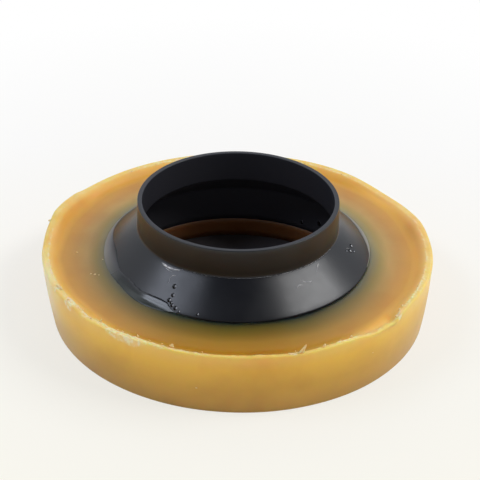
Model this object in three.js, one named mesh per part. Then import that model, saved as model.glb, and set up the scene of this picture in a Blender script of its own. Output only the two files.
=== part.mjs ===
// Toilet pan seal: a cast wax ring with a black polyethylene horn set in it.
// It stands as it is stored and shown, seat down and horn up. All sizes are in millimetres, +Z is up,
// and the origin is on the axis, in the plane of the wax ring's flat seat.
import * as THREE from 'three';
import { mergeVertices } from 'three/addons/utils/BufferGeometryUtils.js';

// Horn: collar, cone, skirt and brim, moulded as one piece.
const hornWall = 1.7;
const collarRadius = 35.7; // outside, at the open end
const collarDraft = 0.1; // the collar's foot is this much larger in radius
const collarHeight = 10.4;
const coneSpread = 11.5; // how much the cone grows in radius
const coneHeight = 10.0;
const skirtFlare = 0.55; // the skirt's foot is this much larger in radius
const brimReach = 9.0; // how far the brim stands out from the skirt's foot
const brimFillet = 1.2;
const mouthEdgeRound = 0.4; // rounding of the collar's open end

// Wax ring, cast around the skirt and the brim.
const waxDepth = 22.5; // from the seat to where the wax meets the horn
const waxWidth = 22.7; // from the cone's foot to the ring's greatest radius
const waxUnderBrim = 7.7;
const waxBelowCone = 0.3; // the wax meets the skirt this far under the cone's foot
const castClearance = 0.3; // left all round between the wax and the horn
const boreFlare = 0.95; // the bore is this much larger in radius at the seat
const wallDraft = 2.5; // the seat is this much smaller in radius than the shoulder
const wallBulge = 0.3; // the wall's middle stands out this far from the straight line
const seatEdgeRound = 0.5;
const crestRound = 0.9;
const crestWidth = 1.7;
const crestDip = 0.2; // the crest's inner edge is this much lower than its outer edge
const lipSlopeWidth = 4.8; // from the crest down to the dished top face
const dishSag = 0.9; // the dish is this much lower than where the wax meets the horn
const dishDepth = 2.5; // from the crest to the lowest part of the dish

// The lip is uneven: each swell lifts or lowers it around one angle, counted from +X towards +Y.
const swells = [
  { at: 162, spread: 11, rise: 2.3 },
  { at: 37, spread: 12, rise: -1.3 },
  { at: 14, spread: 6, rise: 0.7 },
  { at: 331, spread: 9, rise: 0.8 },
  { at: 219, spread: 7, rise: 0.7 },
];
// A finer ripple runs along it too, as waves around the whole lip.
const ripples = [
  { waves: 13, height: 0.16 },
  { waves: 21, height: 0.13 },
  { waves: 34, height: 0.09 },
];

const segments = 96; // facets around the axis
const curveSteps = 4;
const mergeDistance = 1e-3;

// The horn's sizes worked out from the ones above.
const brimUnderside = waxUnderBrim + castClearance;
const brimTop = brimUnderside + hornWall;
const coneFootHeight = waxDepth + waxBelowCone;
const coneTopHeight = coneFootHeight + coneHeight;
const mouthHeight = coneTopHeight + collarHeight;
const coneTopRadius = collarRadius + collarDraft;
const coneFootRadius = coneTopRadius + coneSpread;
const skirtSlope = skirtFlare / (coneFootHeight - brimTop);
const skirtFootRadius = coneFootRadius + skirtFlare;
const brimRadius = skirtFootRadius + brimReach;
const mouthRound = Math.min(mouthEdgeRound, hornWall / 3);

// The wax ring's sizes worked out from them.
const shoulderRadius = coneFootRadius + waxWidth; // the ring's greatest radius, just under its crest
const seatRadius = shoulderRadius - wallDraft;
const crestInnerRadius = shoulderRadius - crestRound - crestWidth;
const lipFootRadius = crestInnerRadius - lipSlopeWidth;
const dishHeight = waxDepth - dishSag;
const crestHeight = dishHeight + dishDepth; // mean height of the lip
const shoulderHeight = crestHeight - crestRound;

// The outside of the horn's bends, from the skirt's foot to the open end.
const skirtFoot = new THREE.Vector2(skirtFootRadius, brimTop);
const coneFoot = new THREE.Vector2(coneFootRadius, coneFootHeight);
const coneTop = new THREE.Vector2(coneTopRadius, coneTopHeight);
const mouth = new THREE.Vector2(collarRadius, mouthHeight);

/** Unit normal of the line from a to b, to the left of its direction. */
function leftNormal(a, b) {
  const along = b.clone().sub(a).normalize();
  return new THREE.Vector2(-along.y, along.x);
}

/** The bend's point on the inner face of a wall of the given thickness, between its two neighbours. */
function insideCorner(before, corner, after, thickness) {
  const first = leftNormal(before, corner);
  const second = leftNormal(corner, after);
  const scale = thickness / (1 + first.dot(second));
  return corner.clone().addScaledVector(first.add(second), scale);
}

const collarInsideRadius = collarRadius - hornWall;
const coneFootInside = insideCorner(skirtFoot, coneFoot, coneTop, hornWall);
const coneTopInside = insideCorner(coneFoot, coneTop, mouth, hornWall);
const skirtFootInsideRadius = coneFootInside.x + skirtSlope * (coneFootInside.y - brimUnderside);

/** Turns a closed outline, drawn as radius and height, into a solid around +Z. */
function turned(outline) {
  const geometry = new THREE.LatheGeometry(outline.getPoints(curveSteps), segments);
  geometry.rotateX(Math.PI / 2);
  geometry.deleteAttribute('normal');
  geometry.deleteAttribute('uv');
  return mergeVertices(geometry, mergeDistance);
}

/** The horn's section: brim, skirt, cone and collar, with an even wall. */
function hornOutline() {
  const tip = hornWall / 2;
  const outline = new THREE.Path();
  outline.moveTo(skirtFootInsideRadius, brimUnderside);
  outline.lineTo(brimRadius - tip, brimUnderside);
  outline.absarc(brimRadius - tip, brimUnderside + tip, tip, -Math.PI / 2, Math.PI / 2, false);
  outline.lineTo(skirtFoot.x + brimFillet, brimTop);
  outline.quadraticCurveTo(
    skirtFoot.x, brimTop, skirtFoot.x - skirtSlope * brimFillet, brimTop + brimFillet);
  outline.lineTo(coneFoot.x, coneFoot.y);
  outline.lineTo(coneTop.x, coneTop.y);
  outline.lineTo(mouth.x, mouth.y - mouthRound);
  outline.quadraticCurveTo(mouth.x, mouth.y, mouth.x - mouthRound, mouth.y);
  outline.lineTo(collarInsideRadius + mouthRound, mouth.y);
  outline.quadraticCurveTo(collarInsideRadius, mouth.y, collarInsideRadius, mouth.y - mouthRound);
  outline.lineTo(coneTopInside.x, coneTopInside.y);
  outline.lineTo(coneFootInside.x, coneFootInside.y);
  outline.closePath();
  return outline;
}

/** The wax ring's section: seat, drafted wall, lip, dished top face, and the cavity the horn fills. */
function waxOutline() {
  const wallSlope = wallDraft / shoulderHeight;
  const meetRadius = coneFootRadius + skirtSlope * waxBelowCone + castClearance;
  const cavityFillet = brimFillet - castClearance;
  const cavityTop = brimTop + castClearance;
  const cavityFootRadius = skirtFootRadius + castClearance;
  const tip = hornWall / 2 + castClearance;

  const outline = new THREE.Path();
  outline.moveTo(skirtFootInsideRadius + boreFlare, 0);
  outline.lineTo(seatRadius - seatEdgeRound, 0);
  outline.quadraticCurveTo(seatRadius, 0, seatRadius + wallSlope * seatEdgeRound, seatEdgeRound);
  outline.quadraticCurveTo(
    (seatRadius + shoulderRadius) / 2 + 2 * wallBulge, shoulderHeight / 2,
    shoulderRadius, shoulderHeight);
  outline.quadraticCurveTo(shoulderRadius, crestHeight, shoulderRadius - crestRound, crestHeight);
  outline.lineTo(crestInnerRadius, crestHeight - crestDip);
  outline.bezierCurveTo(
    crestInnerRadius - lipSlopeWidth / 3, (crestHeight + dishHeight) / 2,
    lipFootRadius + lipSlopeWidth / 3, dishHeight,
    lipFootRadius, dishHeight);
  outline.quadraticCurveTo((lipFootRadius + meetRadius) / 2, dishHeight, meetRadius, waxDepth);
  outline.lineTo(cavityFootRadius - skirtSlope * cavityFillet, cavityTop + cavityFillet);
  outline.quadraticCurveTo(
    cavityFootRadius, cavityTop, cavityFootRadius + cavityFillet, cavityTop);
  outline.lineTo(brimRadius - hornWall / 2, cavityTop);
  outline.absarc(
    brimRadius - hornWall / 2, brimUnderside + hornWall / 2, tip, Math.PI / 2, -Math.PI / 2, true);
  outline.lineTo(skirtFootInsideRadius, waxUnderBrim);
  outline.closePath();
  return outline;
}

/** How far the lip stands above its mean height at an angle, in radians. */
function lipRise(angle) {
  const degrees = THREE.MathUtils.euclideanModulo(THREE.MathUtils.radToDeg(angle), 360);
  let rise = 0;
  for (const swell of swells) {
    const away = THREE.MathUtils.euclideanModulo(degrees - swell.at + 180, 360) - 180;
    rise += swell.rise * Math.exp(-((away / swell.spread) ** 2));
  }
  for (const ripple of ripples) {
    rise += ripple.height * Math.sin(ripple.waves * angle);
  }
  return rise;
}

/** Lifts and lowers the lip around the ring, with nothing moved on the seat, the dish or the cavity. */
function unevenLip(geometry) {
  const place = geometry.getAttribute('position');
  for (let i = 0; i < place.count; i += 1) {
    const x = place.getX(i);
    const y = place.getY(i);
    const z = place.getZ(i);
    if (z > dishHeight && Math.hypot(x, y) > lipFootRadius) {
      const share = Math.min(1, (z - dishHeight) / (shoulderHeight - dishHeight));
      place.setZ(i, z + share * lipRise(Math.atan2(y, x)));
    }
  }
  return geometry;
}

/** A named mesh with the finish of its material. */
function piece(name, geometry, finish) {
  const mesh = new THREE.Mesh(geometry, new THREE.MeshStandardMaterial(finish));
  mesh.name = name;
  return mesh;
}

const amberWax = { color: 0xc99a4e, roughness: 0.38, metalness: 0 };
const blackPolyethylene = { color: 0x1b1b1e, roughness: 0.32, metalness: 0 };

const seal = new THREE.Group();
seal.add(piece('wax_ring', unevenLip(turned(waxOutline())), amberWax));
seal.add(piece('horn', turned(hornOutline()), blackPolyethylene));

export default seal;
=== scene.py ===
"""Toilet pan seal, dressed: a cast wax ring with a torn lip and the black polyethylene horn set in it.

Sizes are in millimetres and meshes are made in metres, in the CAD model's frame: +Z up the axis and the
seat's centre at the origin. Angles round the ring are in degrees from +X towards +Y, and 270 faces the
camera.
"""
import logging
import math
import random
from dataclasses import dataclass
from enum import Enum

import bpy
import numpy as np
from mathutils import Matrix, Vector, noise


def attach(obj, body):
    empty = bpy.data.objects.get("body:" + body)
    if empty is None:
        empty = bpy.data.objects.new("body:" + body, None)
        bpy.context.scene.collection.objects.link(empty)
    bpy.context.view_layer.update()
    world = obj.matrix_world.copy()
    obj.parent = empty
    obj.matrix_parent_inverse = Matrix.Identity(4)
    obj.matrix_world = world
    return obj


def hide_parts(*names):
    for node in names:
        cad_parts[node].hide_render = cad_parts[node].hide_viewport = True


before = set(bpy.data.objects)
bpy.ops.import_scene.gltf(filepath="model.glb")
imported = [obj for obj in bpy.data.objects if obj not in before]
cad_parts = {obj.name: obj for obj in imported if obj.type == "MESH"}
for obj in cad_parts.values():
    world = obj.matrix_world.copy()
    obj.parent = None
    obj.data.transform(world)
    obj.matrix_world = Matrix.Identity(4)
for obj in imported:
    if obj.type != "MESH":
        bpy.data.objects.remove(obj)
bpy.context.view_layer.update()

log = logging.getLogger("pan_seal")
MM = 0.001
BODY = "root"

# Numbers of sockets that share their names with others on the node.
FROM_LOW, FROM_HIGH, TO_LOW, TO_HIGH = 1, 2, 3, 4
NUMBER_A, NUMBER_B = 2, 3
COLOUR_A, COLOUR_B, COLOUR_OUT = 6, 7, 2


class Slot(Enum):
    """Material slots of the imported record."""

    WAX = "amber_wax"
    HORN = "black_polyethylene"


def linear(code: str) -> tuple[float, float, float, float]:
    """Turns an sRGB hex colour into linear red, green, blue and alpha.

    Args:
        code: the colour as "#rrggbb".
    Returns:
        Four numbers from 0 to 1, with alpha 1.
    """
    levels = [int(code[i : i + 2], 16) / 255 for i in (1, 3, 5)]
    red, green, blue = (c / 12.92 if c <= 0.04045 else ((c + 0.055) / 1.055) ** 2.4 for c in levels)
    return red, green, blue, 1.0


def add_node(
    tree: bpy.types.NodeTree,
    kind: str,
    settings: dict | None = None,
    links: dict | None = None,
) -> bpy.types.Node:
    """Adds a node with its settings and links.

    Args:
        tree: the node tree of a material or of the world.
        kind: Blender's identifier of the node's type.
        settings: values by property name, or by input name or number; "stops" fills a colour ramp.
        links: output sockets by the name or number of the input that each one feeds.
    Returns:
        The new node.
    """
    node = tree.nodes.new(kind)
    for name, value in (settings or {}).items():
        if name == "stops":
            elements = node.color_ramp.elements
            while len(elements) < len(value):
                elements.new(1.0)
            for element, (place, colour) in zip(elements, value):
                element.position = place
                element.color = colour
        elif isinstance(name, str) and hasattr(node, name):
            setattr(node, name, value)
        else:
            node.inputs[name].default_value = value
    for name, socket in (links or {}).items():
        tree.links.new(socket, node.inputs[name])
    return node


def new_material(name: str) -> tuple[bpy.types.Material, bpy.types.NodeTree]:
    """Makes an empty node material.

    Args:
        name: the material's name.
    Returns:
        The material and its node tree.
    """
    material = bpy.data.materials.new(name)
    material.use_nodes = True
    material.node_tree.nodes.clear()
    return material, material.node_tree


def turn_away(degrees: np.ndarray, at: float) -> np.ndarray:
    """Signed angle from one direction to others, in degrees from -180 to 180.

    Args:
        degrees: angles round the axis.
        at: the angle that they are counted from.
    Returns:
        The differences.
    """
    return (degrees - at + 180.0) % 360.0 - 180.0


def smooth_step(values: np.ndarray, low: float, high: float) -> np.ndarray:
    """Smooth share from 0 at low to 1 at high.

    Args:
        values: where the share is wanted.
        low: value at which it is 0.
        high: value at which it is 1.
    Returns:
        The shares.
    """
    share = np.clip((values - low) / (high - low), 0.0, 1.0)
    return share * share * (3.0 - 2.0 * share)


def grain(points: np.ndarray, size: float, seed: float) -> np.ndarray:
    """Smooth noise from about -1 to 1 over points.

    Args:
        points: array whose last axis is x, y, z in millimetres.
        size: width of one bump in millimetres.
        seed: offset that gives another pattern.
    Returns:
        One value a point.
    """
    flat = (points.reshape(-1, 3) / size + seed).tolist()
    return np.array([noise.noise(p) for p in flat]).reshape(points.shape[:-1])


def curve(start: tuple, middle: tuple, end: tuple, steps: int) -> list[tuple[float, float]]:
    """Points of a quadratic curve, without its start.

    Args:
        start: first point, radius and height.
        middle: control point.
        end: last point.
        steps: number of points made.
    Returns:
        The points after the start, the end among them.
    """
    made = []
    for i in range(1, steps + 1):
        t = i / steps
        a, b, c = (1 - t) ** 2, 2 * t * (1 - t), t * t
        made.append(tuple(a * start[k] + b * middle[k] + c * end[k] for k in (0, 1)))
    return made


def line(start: tuple, end: tuple, steps: int) -> list[tuple[float, float]]:
    """Points of a straight line, without its start.

    Args:
        start: first point, radius and height.
        end: last point.
        steps: number of points made.
    Returns:
        The points after the start, the end among them.
    """
    return curve(start, ((start[0] + end[0]) / 2, (start[1] + end[1]) / 2), end, steps)


def mesh_piece(
    name: str,
    points: np.ndarray,
    faces: list,
    slot: Slot,
    finish: bpy.types.Material,
) -> bpy.types.Object:
    """Makes a smooth-shaded piece that rides on the seal.

    Args:
        name: the piece's name.
        points: corners in millimetres.
        faces: lists of corner numbers.
        slot: the record's material slot; not used.
        finish: its material.
    Returns:
        The new object.
    """
    mesh = bpy.data.meshes.new(name)
    mesh.from_pydata((points.reshape(-1, 3) * MM).tolist(), [], faces)
    mesh.polygons.foreach_set("use_smooth", [True] * len(mesh.polygons))
    mesh.update()
    piece = bpy.data.objects.new(name, mesh)
    bpy.context.scene.collection.objects.link(piece)
    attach(piece, BODY)
    mesh.materials.append(finish)
    return piece


def ring_faces(rows: int, columns: int, closed: bool) -> list[list[int]]:
    """Quads between rows of points that run round the axis.

    Args:
        rows: points along the section.
        columns: points round the axis.
        closed: whether the last row meets the first.
    Returns:
        Lists of four corner numbers.
    """
    first = np.arange(rows if closed else rows - 1)[:, None]
    column = np.arange(columns)[None, :]
    after = (first + 1) % rows
    beside = (column + 1) % columns
    corners = [
        first * columns + column,
        first * columns + beside,
        after * columns + beside,
        after * columns + column,
    ]
    return np.stack(np.broadcast_arrays(*corners), axis=-1).reshape(-1, 4).tolist()


def strip_faces(rows: int) -> list[list[int]]:
    """Faces of a closed strip whose rows have four corners each.

    Args:
        rows: rows along the strip.
    Returns:
        Lists of four corner numbers, looking outwards.
    """
    faces = [[3, 2, 1, 0]]
    for i in range(rows - 1):
        low, high = 4 * i, 4 * (i + 1)
        faces += [[low + j, low + (j + 1) % 4, high + (j + 1) % 4, high + j] for j in range(4)]
    last = 4 * (rows - 1)
    faces.append([last, last + 1, last + 2, last + 3])
    return faces


def joined(bodies: list[tuple[list, list]]) -> tuple[np.ndarray, list[list[int]]]:
    """Puts several small bodies together.

    Args:
        bodies: the points and the faces of each.
    Returns:
        All points, and all faces with their corner numbers moved on.
    """
    points, faces = [], []
    for more_points, more_faces in bodies:
        faces += [[len(points) + corner for corner in face] for face in more_faces]
        points += more_points
    return np.array(points), faces


def add_values(piece: bpy.types.Object, name: str, values: np.ndarray) -> None:
    """Stores one number a corner on a piece's mesh.

    Args:
        piece: the piece.
        name: name under which its material reads the numbers.
        values: one number a corner.
    """
    attribute = piece.data.attributes.new(name, "FLOAT", "POINT")
    attribute.data.foreach_set("value", values.ravel().astype(np.float32))


@dataclass(frozen=True)
class Swell:
    """A rise or a fall of something around one angle of the ring."""

    at: float
    spread: float
    rise: float

    def over(self, degrees: np.ndarray) -> np.ndarray:
        """Its height at each angle."""
        return self.rise * np.exp(-((turn_away(degrees, self.at) / self.spread) ** 2))


def sum_of(swells: tuple[Swell, ...], degrees: np.ndarray) -> np.ndarray:
    """All swells together at each angle."""
    return sum((swell.over(degrees) for swell in swells), np.zeros_like(degrees))


@dataclass(frozen=True)
class CastPetroleumWax:
    """Amber petroleum wax, cast warm in a mould: satin and cloudy, glowing where it is thin, darker and
    greenish over the black horn that shows through it, and pale where its lip is torn.
    Light and shade are also painted into its colour: painted shade darkens the dish in front of the horn,
    the dish is painted paler at the back and sides, the wall is painted lighter towards its top as glow,
    and the crest is painted pale as a highlight."""

    # Colours of the dish by radius, and of the wall by height, in millimetres. The front dish is painted
    # darker as painted shade of the horn, and it is also dark where the black horn shows through the thin
    # wax. The back and sides are painted paler: a painted reflection near the horn and a painted glow
    # towards the lip. The wall is painted lighter towards its top as painted glow.
    front_dish_shaded: tuple[tuple[float, str], ...] = (
        (47.2, "#10191a"),
        (48.5, "#2c321d"),
        (51.0, "#695a15"),
        (54.0, "#866916"),
        (58.0, "#ae8220"),
        (62.0, "#bb8516"),
        (68.0, "#bd7c12"),
    )
    back_dish_lit: tuple[tuple[float, str], ...] = (
        (47.2, "#968f6c"),
        (51.0, "#b1964e"),
        (54.0, "#c69d55"),
        (58.0, "#ca9442"),
        (62.0, "#d69a38"),
        (64.5, "#f0b442"),
        (67.5, "#ffcc68"),
    )
    wall_glow_rise: tuple[tuple[float, str], ...] = (
        (0.0, "#d3a44a"),
        (10.0, "#e2b042"),
        (18.5, "#fac84a"),
        (24.0, "#ffd26c"),
    )
    bore: str = "#a2693a"
    torn: str = "#ffebbe"
    cloud: str = "#b8874a"
    roughness: float = 0.40
    torn_roughness: float = 0.32
    ior: float = 1.44
    satin_spread: float = 0.05
    coat: float = 0.16
    coat_roughness: float = 0.25
    coat_ior: float = 1.5
    glow: float = 0.8
    glow_depth: float = 4.5
    glow_reach: tuple[float, float, float] = (1.0, 0.5, 0.16)
    grain_size: float = 1.6
    cloud_size: float = 19.0
    cloud_most: float = 0.22
    wander: float = 1.5
    # Where each region is nothing and where it is full, in millimetres, and which way its side turns. The
    # side sets how much of the dish takes the front's painted shade and how much takes the back's painted
    # light.
    turn_radii: tuple[float, float] = (48.0, 66.0)
    front_turn: tuple[float, float] = (-0.84, -1.0)
    back_turn: tuple[float, float] = (0.2, -0.75)
    top_heights: tuple[float, float] = (17.3, 20.4)
    top_radii: tuple[float, float] = (68.4, 67.4)
    bore_heights: tuple[float, float] = (9.5, 8.0)
    bore_radii: tuple[float, float] = (52.0, 48.0)

    @staticmethod
    def ramp(
        tree: bpy.types.NodeTree,
        value: bpy.types.NodeSocket,
        stops: tuple[tuple[float, str], ...],
    ) -> bpy.types.NodeSocket:
        """Colours something by its distance.

        Args:
            tree: the material's nodes.
            value: a distance in metres.
            stops: distances in millimetres with their colours.
        Returns:
            The colour's socket.
        """
        low, high = stops[0][0], stops[-1][0]
        share = add_node(
            tree, "ShaderNodeMapRange", {FROM_LOW: low * MM, FROM_HIGH: high * MM}, {0: value}
        ).outputs[0]
        colours = [((at - low) / (high - low), linear(code)) for at, code in stops]
        return add_node(tree, "ShaderNodeValToRGB", {"stops": colours}, {0: share}).outputs[0]

    @staticmethod
    def within(
        tree: bpy.types.NodeTree,
        height: bpy.types.NodeSocket,
        heights: tuple[float, float],
        radius: bpy.types.NodeSocket,
        radii: tuple[float, float],
    ) -> bpy.types.NodeSocket:
        """Share of a region that fades out between two heights and between two radii.

        Args:
            tree: the material's nodes.
            height: the height in metres.
            heights: where the share is 0 and where it is 1, in millimetres.
            radius: the distance from the axis in metres.
            radii: where the share is 0 and where it is 1, in millimetres.
        Returns:
            The share's socket.
        """
        shares = [
            add_node(
                tree, "ShaderNodeMapRange", {FROM_LOW: none * MM, FROM_HIGH: full * MM}, {0: distance}
            ).outputs[0]
            for distance, (none, full) in ((height, heights), (radius, radii))
        ]
        return add_node(
            tree, "ShaderNodeMath", {"operation": "MULTIPLY"}, {0: shares[0], 1: shares[1]}
        ).outputs[0]

    def make(self) -> bpy.types.Material:
        """Builds the material.

        Returns:
            The wax's material.
        """
        material, tree = new_material("cast_petroleum_wax")
        place = add_node(tree, "ShaderNodeTexCoord").outputs["Object"]
        parts = add_node(tree, "ShaderNodeSeparateXYZ", links={0: place}).outputs
        flat = add_node(tree, "ShaderNodeCombineXYZ", links={0: parts[0], 1: parts[1]}).outputs[0]
        radius = add_node(
            tree, "ShaderNodeVectorMath", {"operation": "LENGTH"}, {0: flat}
        ).outputs["Value"]
        cloudiness = add_node(
            tree,
            "ShaderNodeTexNoise",
            {"Scale": 1 / (self.cloud_size * MM), "Detail": 3.0, "Roughness": 0.5},
            {"Vector": place},
        ).outputs["Fac"]
        wander = add_node(
            tree,
            "ShaderNodeMath",
            {"operation": "MULTIPLY_ADD", 1: 2 * self.wander * MM, 2: -self.wander * MM},
            {0: cloudiness},
        ).outputs[0]
        wandering = add_node(
            tree, "ShaderNodeMath", {"operation": "ADD"}, {0: radius, 1: wander}
        ).outputs[0]
        # Painted light: the dish is darker in front, where it lies in the horn's shade, and paler at the
        # back and sides.
        front = self.ramp(tree, wandering, self.front_dish_shaded)
        back = self.ramp(tree, wandering, self.back_dish_lit)
        turn = add_node(
            tree, "ShaderNodeMath", {"operation": "DIVIDE"}, {0: parts[1], 1: radius}
        ).outputs[0]
        near, far = self.turn_radii
        front_turn, back_turn = (
            add_node(
                tree,
                "ShaderNodeMapRange",
                {FROM_LOW: near * MM, FROM_HIGH: far * MM, TO_LOW: inside, TO_HIGH: at_lip},
                {0: radius},
            ).outputs[0]
            for inside, at_lip in (self.front_turn, self.back_turn)
        )
        side = add_node(
            tree, "ShaderNodeMapRange", links={0: turn, FROM_LOW: front_turn, FROM_HIGH: back_turn}
        ).outputs[0]
        dish = add_node(
            tree,
            "ShaderNodeMix",
            {"data_type": "RGBA"},
            {"Factor": side, COLOUR_A: front, COLOUR_B: back},
        ).outputs[COLOUR_OUT]
        # Painted glow: the wall is brighter than the dish and lighter towards its top, standing in for
        # light that comes through the lip.
        wall = self.ramp(tree, parts[2], self.wall_glow_rise)
        on_top = self.within(tree, parts[2], self.top_heights, radius, self.top_radii)
        body = add_node(
            tree,
            "ShaderNodeMix",
            {"data_type": "RGBA"},
            {"Factor": on_top, COLOUR_A: wall, COLOUR_B: dish},
        ).outputs[COLOUR_OUT]
        in_bore = self.within(tree, parts[2], self.bore_heights, radius, self.bore_radii)
        body = add_node(
            tree,
            "ShaderNodeMix",
            {"data_type": "RGBA", COLOUR_B: linear(self.bore)},
            {"Factor": in_bore, COLOUR_A: body},
        ).outputs[COLOUR_OUT]
        cloud_share = add_node(
            tree,
            "ShaderNodeMapRange",
            {FROM_LOW: 0.45, FROM_HIGH: 0.75, TO_HIGH: self.cloud_most},
            {0: cloudiness},
        ).outputs[0]
        body = add_node(
            tree,
            "ShaderNodeMix",
            {"data_type": "RGBA", "blend_type": "MULTIPLY", COLOUR_B: linear(self.cloud)},
            {"Factor": cloud_share, COLOUR_A: body},
        ).outputs[COLOUR_OUT]
        # Pale: torn wax where scraped, and a painted highlight along the crest.
        torn = add_node(
            tree, "ShaderNodeAttribute", {"attribute_name": "torn"}
        ).outputs["Fac"]
        body = add_node(
            tree,
            "ShaderNodeMix",
            {"data_type": "RGBA", COLOUR_B: linear(self.torn)},
            {"Factor": torn, COLOUR_A: body},
        ).outputs[COLOUR_OUT]
        fine = add_node(
            tree,
            "ShaderNodeTexNoise",
            {"Scale": 1 / (self.grain_size * MM), "Detail": 4.0, "Roughness": 0.6},
            {"Vector": place},
        ).outputs["Fac"]
        satin = add_node(
            tree,
            "ShaderNodeMapRange",
            {TO_LOW: self.roughness - self.satin_spread, TO_HIGH: self.roughness + self.satin_spread},
            {0: fine},
        ).outputs[0]
        rough = add_node(
            tree,
            "ShaderNodeMix",
            {"data_type": "FLOAT", NUMBER_B: self.torn_roughness},
            {"Factor": torn, NUMBER_A: satin},
        ).outputs[0]
        bump = add_node(
            tree, "ShaderNodeBump", {"Strength": 0.12, "Distance": 0.10 * MM}, {"Height": fine}
        ).outputs[0]
        shader = add_node(
            tree,
            "ShaderNodeBsdfPrincipled",
            {
                "subsurface_method": "RANDOM_WALK",
                "IOR": self.ior,
                "Subsurface Weight": self.glow,
                "Subsurface Radius": self.glow_reach,
                "Subsurface Scale": self.glow_depth * MM,
                "Coat Weight": self.coat,
                "Coat Roughness": self.coat_roughness,
                "Coat IOR": self.coat_ior,
            },
            {"Base Color": body, "Roughness": rough, "Normal": bump},
        )
        add_node(tree, "ShaderNodeOutputMaterial", links={0: shader.outputs[0]})
        return material


@dataclass(frozen=True)
class TornWax:
    """Shreds and crumbs of the same wax, cut and smeared: they are full of tiny cracks, so they look pale
    and cloudy, with a moist shine on their smeared faces."""

    pale: str = "#ffe8b2"
    amber: str = "#ffd084"
    roughness: float = 0.3
    ior: float = 1.44
    glow: float = 0.3
    glow_depth: float = 0.3
    glow_reach: tuple[float, float, float] = (1.0, 1.0, 0.8)
    mottle_size: float = 0.9

    def make(self) -> bpy.types.Material:
        """Builds the material.

        Returns:
            The shreds' material.
        """
        material, tree = new_material("torn_wax")
        place = add_node(tree, "ShaderNodeTexCoord").outputs["Object"]
        mottle = add_node(
            tree,
            "ShaderNodeTexNoise",
            {"Scale": 1 / (self.mottle_size * MM), "Detail": 3.0},
            {"Vector": place},
        ).outputs["Fac"]
        colour = add_node(
            tree,
            "ShaderNodeValToRGB",
            {"stops": [(0.35, linear(self.amber)), (0.62, linear(self.pale))]},
            {0: mottle},
        ).outputs[0]
        bump = add_node(
            tree, "ShaderNodeBump", {"Strength": 0.4, "Distance": 0.08 * MM}, {"Height": mottle}
        ).outputs[0]
        shader = add_node(
            tree,
            "ShaderNodeBsdfPrincipled",
            {
                "Roughness": self.roughness,
                "IOR": self.ior,
                "Subsurface Weight": self.glow,
                "Subsurface Radius": self.glow_reach,
                "Subsurface Scale": self.glow_depth * MM,
            },
            {"Base Color": colour, "Normal": bump},
        )
        add_node(tree, "ShaderNodeOutputMaterial", links={0: shader.outputs[0]})
        return material


@dataclass(frozen=True)
class MouldedPolyethylene:
    """Black polyethylene, injection moulded in a polished tool: near black with a soft sheen that spreads
    each lamp into a wide grey glow, slightly uneven where it has been handled and rubbed.
    Its inner face is painted greyer, as painted light inside the bore."""

    black: str = "#101117"
    rubbed: str = "#3c3c42"
    roughness: float = 0.32
    rubbed_roughness: float = 0.5
    ior: float = 1.51
    smear_size: float = 14.0
    grain_size: float = 0.8

    def make(self) -> bpy.types.Material:
        """Builds the material.

        Returns:
            The horn's material.
        """
        material, tree = new_material("moulded_polyethylene")
        place = add_node(tree, "ShaderNodeTexCoord").outputs["Object"]
        smear = add_node(
            tree,
            "ShaderNodeTexNoise",
            {"Scale": 1 / (self.smear_size * MM), "Detail": 5.0, "Roughness": 0.6},
            {"Vector": place},
        ).outputs["Fac"]
        fine = add_node(
            tree,
            "ShaderNodeTexNoise",
            {"Scale": 1 / (self.grain_size * MM), "Detail": 3.0},
            {"Vector": place},
        ).outputs["Fac"]
        rubbed = add_node(
            tree, "ShaderNodeAttribute", {"attribute_name": "rubbed"}
        ).outputs["Fac"]
        colour = add_node(
            tree,
            "ShaderNodeMix",
            {"data_type": "RGBA", COLOUR_A: linear(self.black), COLOUR_B: linear(self.rubbed)},
            {"Factor": rubbed},
        ).outputs[COLOUR_OUT]
        even = add_node(
            tree,
            "ShaderNodeMapRange",
            {
                FROM_LOW: 0.3,
                FROM_HIGH: 0.7,
                TO_LOW: self.roughness - 0.04,
                TO_HIGH: self.roughness + 0.05,
            },
            {0: smear},
        ).outputs[0]
        rough = add_node(
            tree,
            "ShaderNodeMix",
            {"data_type": "FLOAT", NUMBER_B: self.rubbed_roughness},
            {"Factor": rubbed, NUMBER_A: even},
        ).outputs[0]
        bump = add_node(
            tree, "ShaderNodeBump", {"Strength": 0.10, "Distance": 0.03 * MM}, {"Height": fine}
        ).outputs[0]
        shader = add_node(
            tree,
            "ShaderNodeBsdfPrincipled",
            {"IOR": self.ior},
            {"Base Color": colour, "Roughness": rough, "Normal": bump},
        )
        add_node(tree, "ShaderNodeOutputMaterial", links={0: shader.outputs[0]})
        return material


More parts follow.
